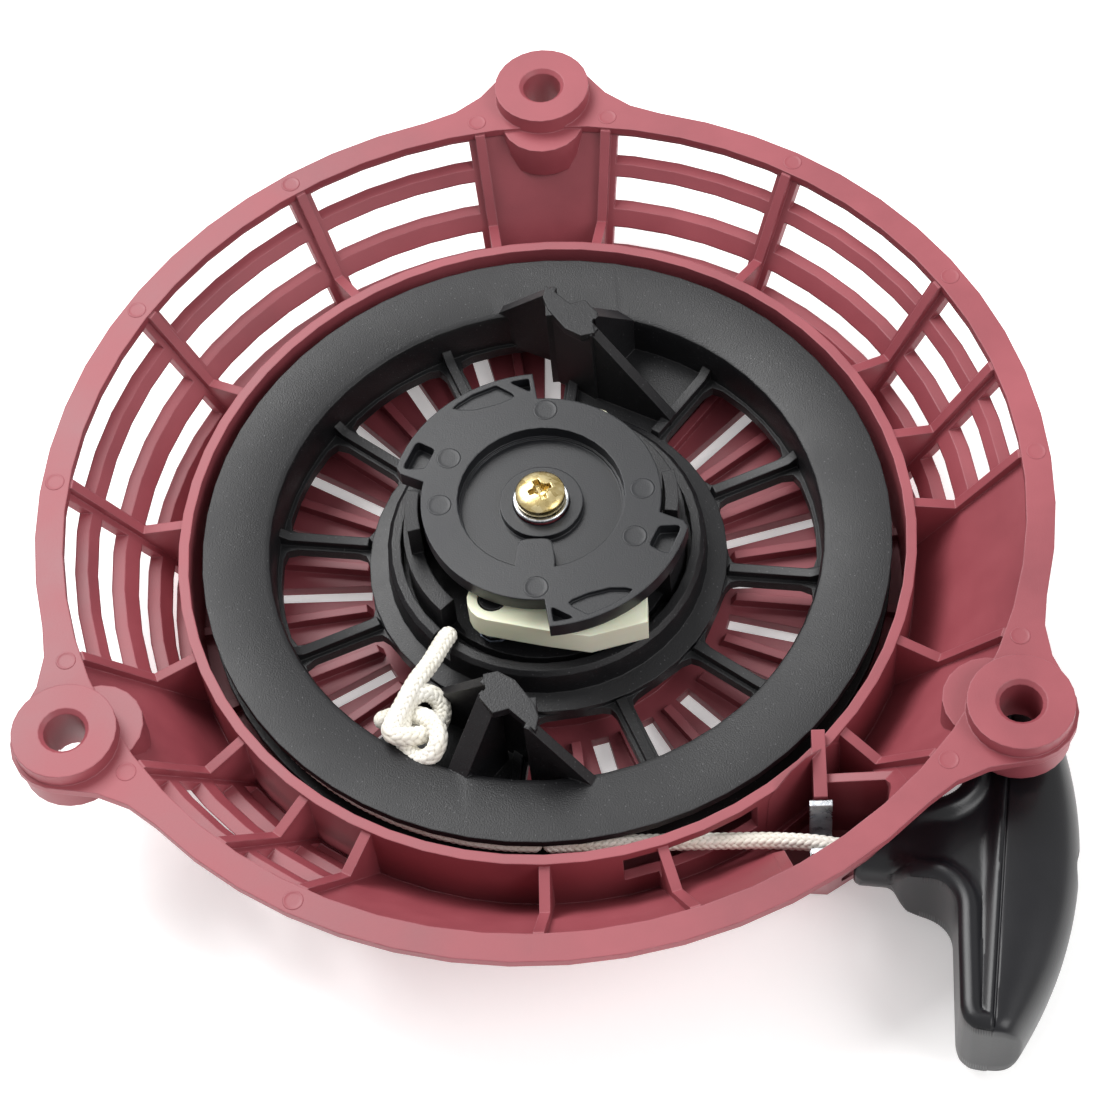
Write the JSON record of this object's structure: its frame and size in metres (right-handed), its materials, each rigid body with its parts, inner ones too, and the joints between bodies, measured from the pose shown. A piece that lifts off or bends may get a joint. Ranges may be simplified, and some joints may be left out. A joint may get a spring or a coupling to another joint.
{
  "type": "recoil starter",
  "caption": "Recoil starter for a small engine: red louvred case with three ears, black rope reel with ratchets and guide plate, braided rope and black T-shaped pull grip.",
  "frame": {"origin": "on the reel's axis, in the plane of the case's front face", "axes": "+Z along the reel's axis towards the engine, +Y towards the ear opposite the rope outlet"},
  "size_m": [0.1947, 0.2188, 0.039],
  "materials": {
    "case_plastic": "injection-moulded rose-red nylon, semi-matte",
    "reel_plastic": "black glass-filled nylon, fine pale speckle",
    "guide_plastic": "black moulded plastic, smooth",
    "grip_plastic": "black moulded plastic, satin",
    "ratchet_nylon": "natural cream nylon",
    "galvanised_steel": "zinc-plated sheet steel",
    "spring_steel": "oiled spring steel",
    "yellow_zinc": "yellow passivated zinc plating",
    "braided_rope": "diamond-braided cream polyester"
  },
  "bodies": {
    "case": {"starter_case": "case_plastic", "rope_guide": "galvanised_steel", "recoil_spring": "spring_steel", "rope_run": "braided_rope", "centre_screw": "yellow_zinc", "screw_washer": "galvanised_steel"},
    "reel": {"reel": "reel_plastic", "rope_winding": "braided_rope", "rope_knot": "braided_rope", "rope_tail": "braided_rope", "rope_root": "braided_rope", "ratchet_spring_1": "spring_steel", "ratchet_spring_2": "spring_steel"},
    "ratchet_1": {"ratchet_1": "ratchet_nylon"},
    "ratchet_2": {"ratchet_2": "ratchet_nylon"},
    "guide": {"ratchet_guide": "guide_plastic", "friction_spring": "spring_steel"},
    "grip": {"grip": "grip_plastic", "grip_rope": "braided_rope", "grip_knot": "braided_rope"}
  },
  "joints": [
    {"name": "handle_pull", "type": "slide", "parent": "case", "child": "grip", "axis": [0.9877, -0.1564, 0], "range_m": [0, 1.2], "stiffness_N_per_m": 12, "springref_m": -0.5, "deforming": ["rope_run"]},
    {"name": "reel_spin", "type": "hinge", "parent": "case", "child": "reel", "pos_m": [0, 0, 0.0106], "axis": [0, 0, 1], "range_deg": [0, 1065]},
    {"name": "guide_turn", "type": "hinge", "parent": "reel", "child": "guide", "pos_m": [0, 0, 0.0305], "axis": [0, 0, 1], "range_deg": [-40, 0], "stiffness_Nm_per_rad": 0.05, "springref_deg": 11.46},
    {"name": "ratchet_1_swing", "type": "hinge", "parent": "reel", "child": "ratchet_1", "pos_m": [-0.0095, -0.0192, 0.024], "axis": [0, 0, 1], "range_deg": [-27, 0]},
    {"name": "ratchet_2_swing", "type": "hinge", "parent": "reel", "child": "ratchet_2", "pos_m": [0.0095, 0.0192, 0.024], "axis": [0, 0, 1], "range_deg": [-27, 0]}
  ],
  "couplings": [
    {"joint": "reel_spin", "follows": "handle_pull", "rad_per_m": 15.385},
    {"joint": "ratchet_1_swing", "follows": "guide_turn", "ratio": 0.66},
    {"joint": "ratchet_2_swing", "follows": "guide_turn", "ratio": 0.66}
  ]
}
